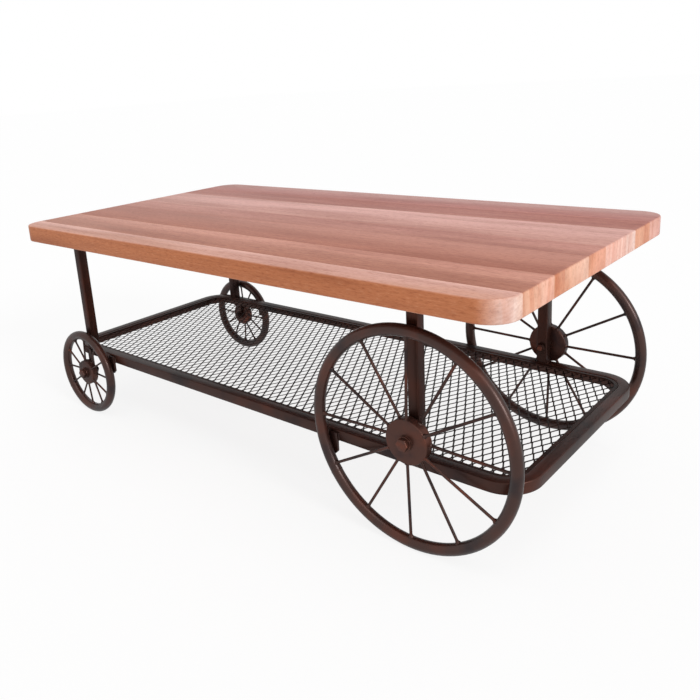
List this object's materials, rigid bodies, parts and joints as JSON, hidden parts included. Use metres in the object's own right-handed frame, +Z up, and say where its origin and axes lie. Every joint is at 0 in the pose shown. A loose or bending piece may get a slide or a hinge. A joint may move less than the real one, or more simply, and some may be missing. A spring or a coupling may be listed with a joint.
{
  "type": "wagon wheel table",
  "caption": "Low table with a planked wood top over an open mesh shelf, carried on spoked metal wheels that turn on bolt axles.",
  "frame": {"origin": "on the floor, in the middle of the whole table", "axes": "+X towards the end with the large wheels, +Y across the table to its right side, +Z up"},
  "size_m": [1.2, 0.64, 0.46],
  "materials": {
    "top_wood": "satin oiled",
    "frame_steel": "dark bronze powder coat, worn",
    "wheel_steel": "dark bronze powder coat, worn",
    "mesh_steel": "dark matte powder coat",
    "fastener_steel": "darkened",
    "bush_bronze": "plain"
  },
  "bodies": {
    "table": {"front_axle_bolts": "fastener_steel", "front_axle_nuts": "fastener_steel", "front_axle_spacers": "fastener_steel", "front_axle_washers": "fastener_steel", "front_left_hanger": "frame_steel", "front_left_lug": "frame_steel", "front_left_plate": "frame_steel", "front_left_post": "frame_steel", "front_right_hanger": "frame_steel", "front_right_lug": "frame_steel", "front_right_plate": "frame_steel", "front_right_post": "frame_steel", "mesh_border": "mesh_steel", "plate_screws": "fastener_steel", "rear_axle_bolts": "fastener_steel", "rear_axle_nuts": "fastener_steel", "rear_axle_spacers": "fastener_steel", "rear_axle_washers": "fastener_steel", "rear_left_lug": "frame_steel", "rear_left_plate": "frame_steel", "rear_left_post": "frame_steel", "rear_right_lug": "frame_steel", "rear_right_plate": "frame_steel", "rear_right_post": "frame_steel", "shelf_frame": "frame_steel", "shelf_mesh": "mesh_steel", "top_stave_1": "top_wood", "top_stave_2": "top_wood", "top_stave_3": "top_wood", "top_stave_4": "top_wood", "top_stave_5": "top_wood", "top_stave_6": "top_wood", "top_stave_7": "top_wood"},
    "front_left_wheel": {"front_left_rim": "wheel_steel", "front_left_spokes": "wheel_steel", "front_left_hub": "wheel_steel", "front_left_bush": "bush_bronze"},
    "front_right_wheel": {"front_right_rim": "wheel_steel", "front_right_spokes": "wheel_steel", "front_right_hub": "wheel_steel", "front_right_bush": "bush_bronze"},
    "rear_left_wheel": {"rear_left_rim": "wheel_steel", "rear_left_spokes": "wheel_steel", "rear_left_hub": "wheel_steel", "rear_left_bush": "bush_bronze"},
    "rear_right_wheel": {"rear_right_rim": "wheel_steel", "rear_right_spokes": "wheel_steel", "rear_right_hub": "wheel_steel", "rear_right_bush": "bush_bronze"}
  },
  "joints": [
    {"name": "front_left_wheel_turn", "type": "hinge", "parent": "table", "child": "front_left_wheel", "pos_m": [-0.5, -0.255, 0.1], "axis": [0, 1, 0], "continuous": true},
    {"name": "front_right_wheel_turn", "type": "hinge", "parent": "table", "child": "front_right_wheel", "pos_m": [-0.5, 0.255, 0.1], "axis": [0, 1, 0], "continuous": true},
    {"name": "rear_left_wheel_turn", "type": "hinge", "parent": "table", "child": "rear_left_wheel", "pos_m": [0.41, -0.255, 0.19], "axis": [0, 1, 0], "continuous": true},
    {"name": "rear_right_wheel_turn", "type": "hinge", "parent": "table", "child": "rear_right_wheel", "pos_m": [0.41, 0.255, 0.19], "axis": [0, 1, 0], "continuous": true}
  ]
}
